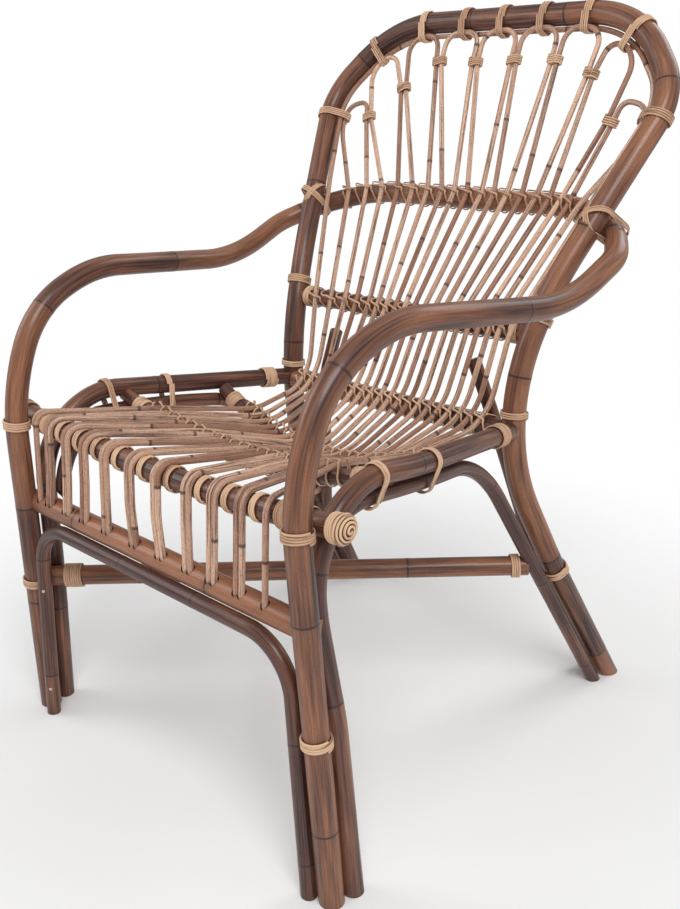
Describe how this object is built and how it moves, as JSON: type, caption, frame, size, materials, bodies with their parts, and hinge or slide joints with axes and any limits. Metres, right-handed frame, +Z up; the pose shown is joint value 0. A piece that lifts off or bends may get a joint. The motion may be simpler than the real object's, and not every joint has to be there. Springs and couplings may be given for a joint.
{
  "type": "rattan armchair",
  "caption": "Fan-backed armchair of bent rattan poles bound with split cane, its seat and back a sling of single cane strands, with fixed legs.",
  "frame": {"origin": "on the floor, under the middle of the whole chair", "axes": "+X to the sitter's left hand, -Y is the front, +Z up"},
  "size_m": [0.6234, 0.7326, 0.9758],
  "materials": {
    "rattan_pole": "dark brown glossy varnish, mottled orange-brown, with node rings",
    "peeled_cane": "satin, tan with dark streaks and specks",
    "split_cane": "satin cream to tan, dark in the gaps"
  },
  "bodies": {
    "root": {"arm_hoop": "rattan_pole", "back_hoop": "rattan_pole", "border_strand": "peeled_cane", "cross_bar_bindings": "split_cane", "fan_loop_1": "peeled_cane", "fan_loop_2": "peeled_cane", "fan_loop_3": "peeled_cane", "fan_loop_4": "peeled_cane", "fan_loop_5": "peeled_cane", "fan_loop_6": "peeled_cane", "fan_loop_7": "peeled_cane", "fan_loop_8": "peeled_cane", "fan_loop_9": "peeled_cane", "front_apron_rail": "rattan_pole", "front_arch": "rattan_pole", "front_bar_ties": "split_cane", "front_leg_lashings": "split_cane", "front_rail_bindings": "split_cane", "front_seat_rail": "rattan_pole", "hoop_lashings": "split_cane", "loop_ties": "split_cane", "lower_back_rail": "rattan_pole", "lower_rail_ties": "split_cane", "middle_back_rail": "rattan_pole", "middle_rail_bindings": "split_cane", "middle_rail_ties": "split_cane", "rear_bar_ties": "split_cane", "rear_brace_left": "rattan_pole", "rear_brace_right": "rattan_pole", "rear_leg_lashings": "split_cane", "rear_seat_bindings": "split_cane", "seat_cross_bar_front": "rattan_pole", "seat_cross_bar_rear": "rattan_pole", "side_arch_lashings": "split_cane", "side_arch_left": "rattan_pole", "side_arch_right": "rattan_pole", "side_rail_left": "rattan_pole", "side_rail_right": "rattan_pole", "stretcher_bindings": "split_cane", "stretcher_lower": "rattan_pole", "stretcher_upper": "rattan_pole", "upper_rail_ties": "split_cane"}
  },
  "joints": []
}
